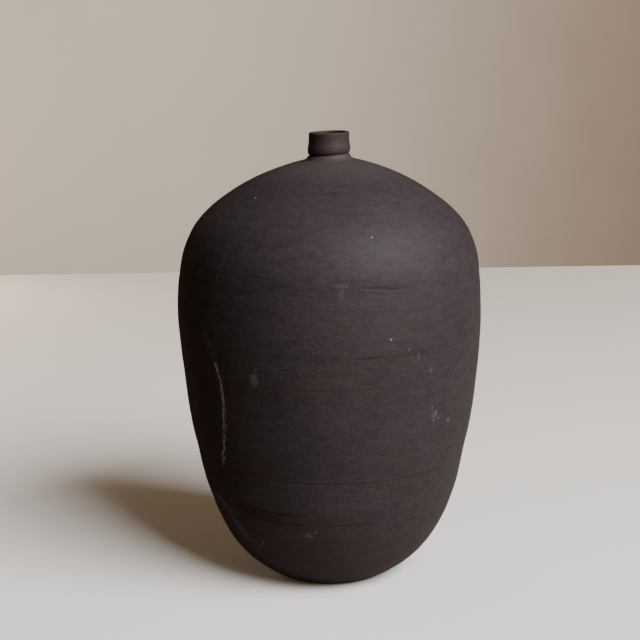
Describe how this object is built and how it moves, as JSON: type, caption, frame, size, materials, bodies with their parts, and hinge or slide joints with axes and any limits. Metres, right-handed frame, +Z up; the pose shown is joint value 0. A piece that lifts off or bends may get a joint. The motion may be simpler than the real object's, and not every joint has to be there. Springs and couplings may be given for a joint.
{
  "type": "clay vase",
  "caption": "Round black clay vase with a tall belly, closed-in shoulder and a short straight neck with a narrow mouth.",
  "frame": {"origin": "centre of the foot, on the surface that the vase stands on", "axes": "+Z up along the axis of the pot, through the mouth; X and Y lie across it, and -Y is the side seen in the picture"},
  "size_m": [0.2016, 0.2016, 0.2946],
  "materials": {
    "black_clay": "unglazed matte, fired black-brown"
  },
  "bodies": {
    "root": {"base_bowl": "black_clay", "lower_seam_coil": "black_clay", "belly_wall": "black_clay", "upper_seam_coil": "black_clay", "shoulder_dome": "black_clay", "neck_seam_coil": "black_clay", "neck_collar": "black_clay"}
  },
  "joints": []
}
